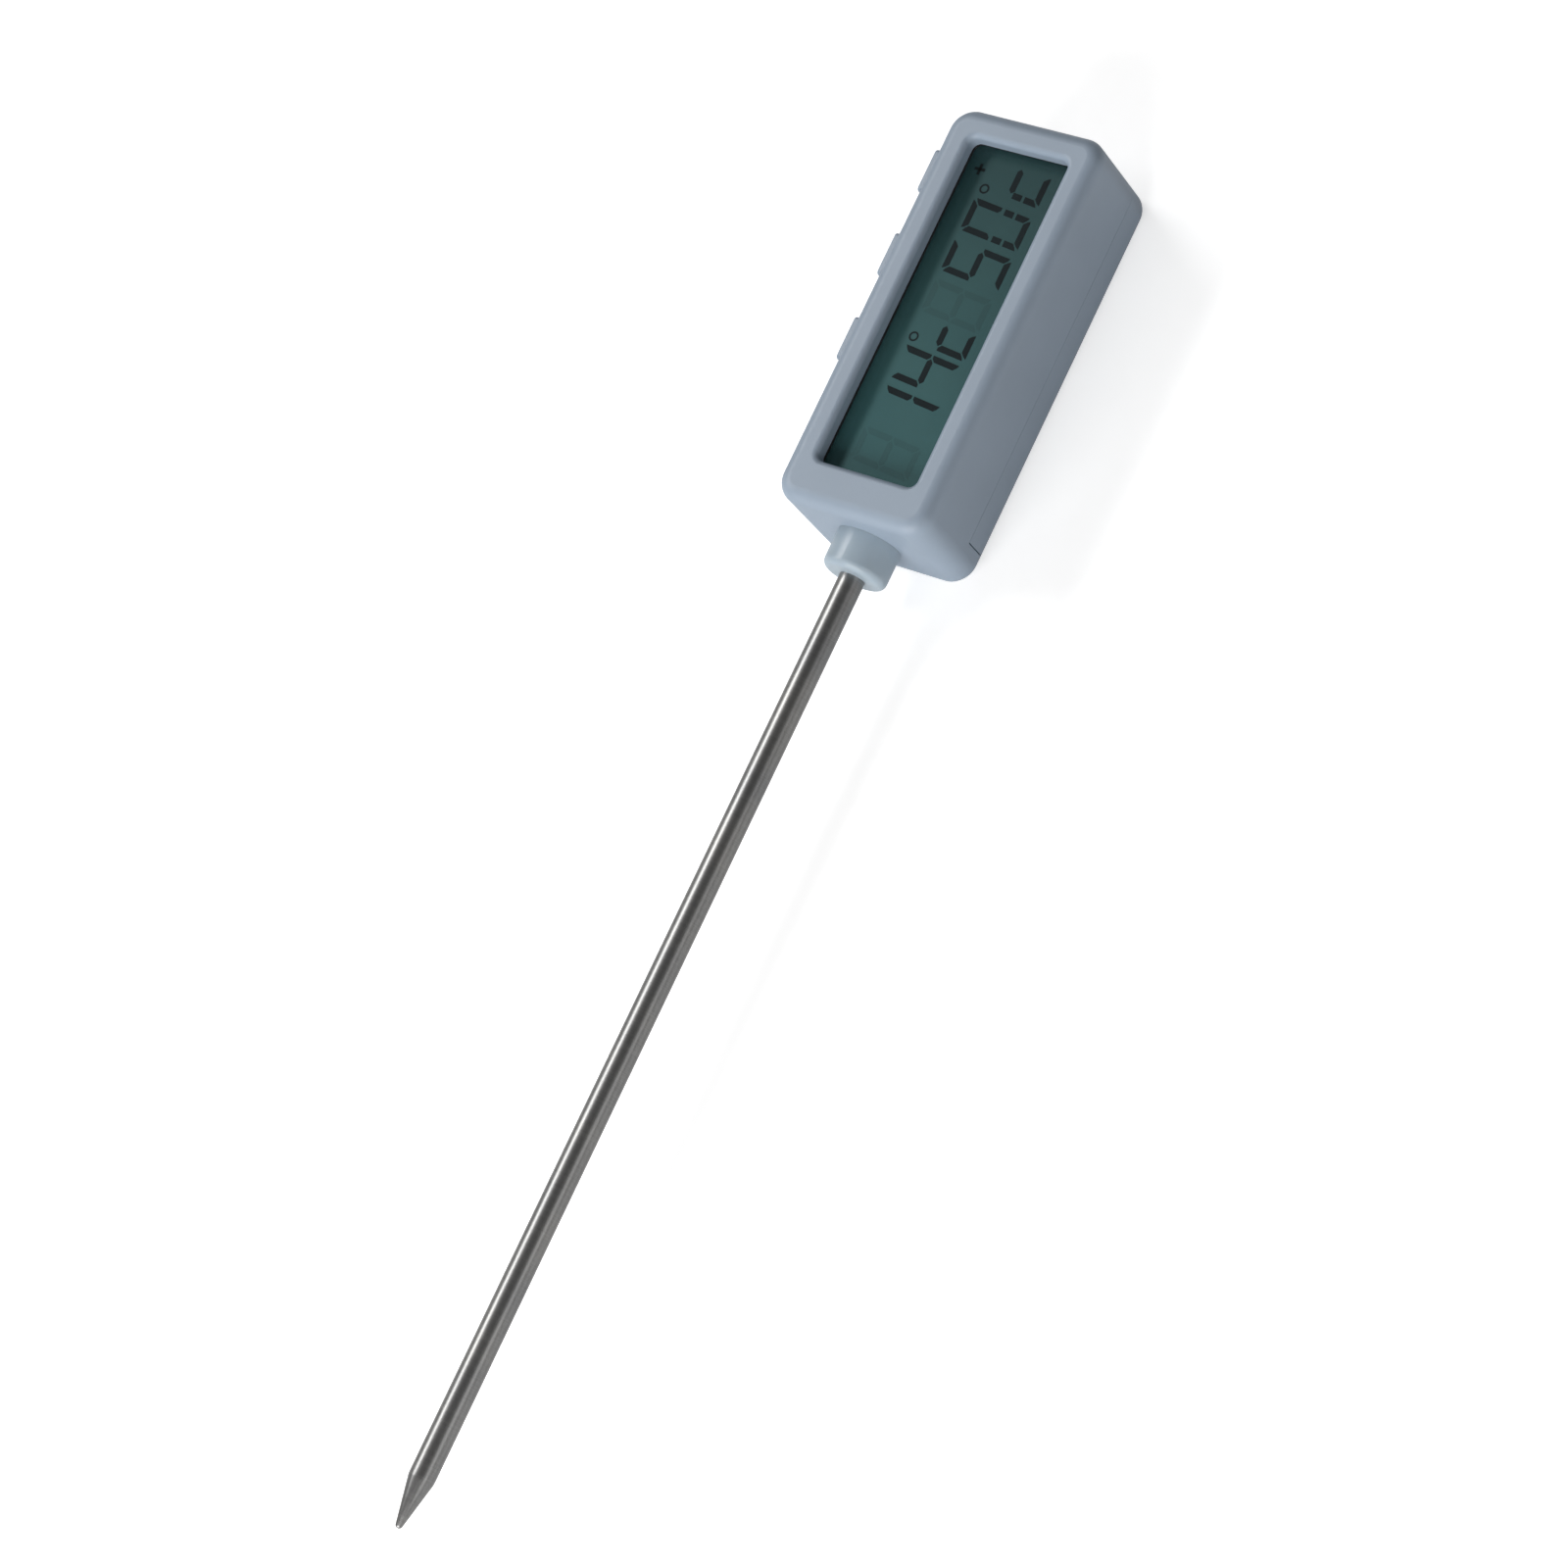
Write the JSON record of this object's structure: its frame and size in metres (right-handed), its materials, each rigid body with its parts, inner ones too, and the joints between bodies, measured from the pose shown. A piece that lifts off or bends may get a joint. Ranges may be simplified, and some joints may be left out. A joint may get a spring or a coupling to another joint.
{
  "type": "soil thermometer probe",
  "caption": "Digital soil thermometer: a rectangular display head with side buttons on a long pointed steel probe stem.",
  "frame": {"origin": "middle of the head's flat back, which is the battery door's outer face and the face that the object rests on", "axes": "+X in line with the stem, from the stem towards the head's far end, so that the stem points along -X; +Y towards the three side buttons; +Z out of the display's front face"},
  "size_m": [0.2238, 0.0286, 0.0193],
  "materials": {
    "housing": "satin moulded ABS, light blue grey",
    "button": "satin moulded ABS",
    "collar": "satin plastic, slightly milky",
    "window": "clear moulded acrylic",
    "gasket": "black foam",
    "polariser": "satin polarising film",
    "display_glass": "polished glass",
    "reflector": "dark teal film",
    "light_plastic": "white ABS",
    "dark_plastic": "black ABS",
    "zebra": "layered silicone",
    "board": "green solder mask",
    "epoxy": "black epoxy",
    "tin": "tinned steel",
    "chip": "ceramic chips",
    "steel": "ground stainless steel",
    "screw": "zinc plated steel",
    "cell": "nickel plated steel can",
    "sleeve": "plain blue shrink sleeve",
    "red_wire": "PVC insulation",
    "white_wire": "PVC insulation",
    "filler": "cured heat-conducting paste"
  },
  "bodies": {
    "head": {"front_housing": "housing", "display_window": "window", "window_gasket": "gasket", "display_polariser": "polariser", "display_front_glass": "display_glass", "display_rear_glass": "display_glass", "display_reflector": "reflector", "display_frame": "light_plastic", "zebra_strip": "zebra", "circuit_board": "board", "chip_blob": "epoxy", "crystal": "tin", "chip_parts": "chip", "button_switches": "dark_plastic", "battery_tray": "dark_plastic", "chassis_screws": "screw", "battery_cell": "cell", "battery_sleeve": "sleeve", "battery_spring": "tin", "battery_contact_minus": "tin", "battery_contact_plus": "tin", "stem_collar": "collar", "stem_gasket": "gasket", "stem_retainer": "screw", "stem_tube": "steel", "thermistor_bead": "epoxy", "tip_filler": "filler", "probe_lead_a": "red_wire", "probe_lead_b": "white_wire"},
    "power_button": {"power_button": "button", "power_plunger": "light_plastic"},
    "mode_button": {"mode_button": "button", "mode_plunger": "light_plastic"},
    "unit_button": {"unit_button": "button", "unit_plunger": "light_plastic"},
    "battery_door": {"battery_door": "housing"}
  },
  "joints": [
    {"name": "power_button_press", "type": "slide", "parent": "head", "child": "power_button", "axis": [0, -1, 0], "range_m": [0, 0.0005], "stiffness_N_per_m": 600, "springref_m": -0.001},
    {"name": "mode_button_press", "type": "slide", "parent": "head", "child": "mode_button", "axis": [0, -1, 0], "range_m": [0, 0.0005], "stiffness_N_per_m": 600, "springref_m": -0.001},
    {"name": "unit_button_press", "type": "slide", "parent": "head", "child": "unit_button", "axis": [0, -1, 0], "range_m": [0, 0.0005], "stiffness_N_per_m": 600, "springref_m": -0.001},
    {"name": "battery_door_slide", "type": "slide", "parent": "head", "child": "battery_door", "axis": [1, 0, 0], "range_m": [0, 0.062]}
  ]
}
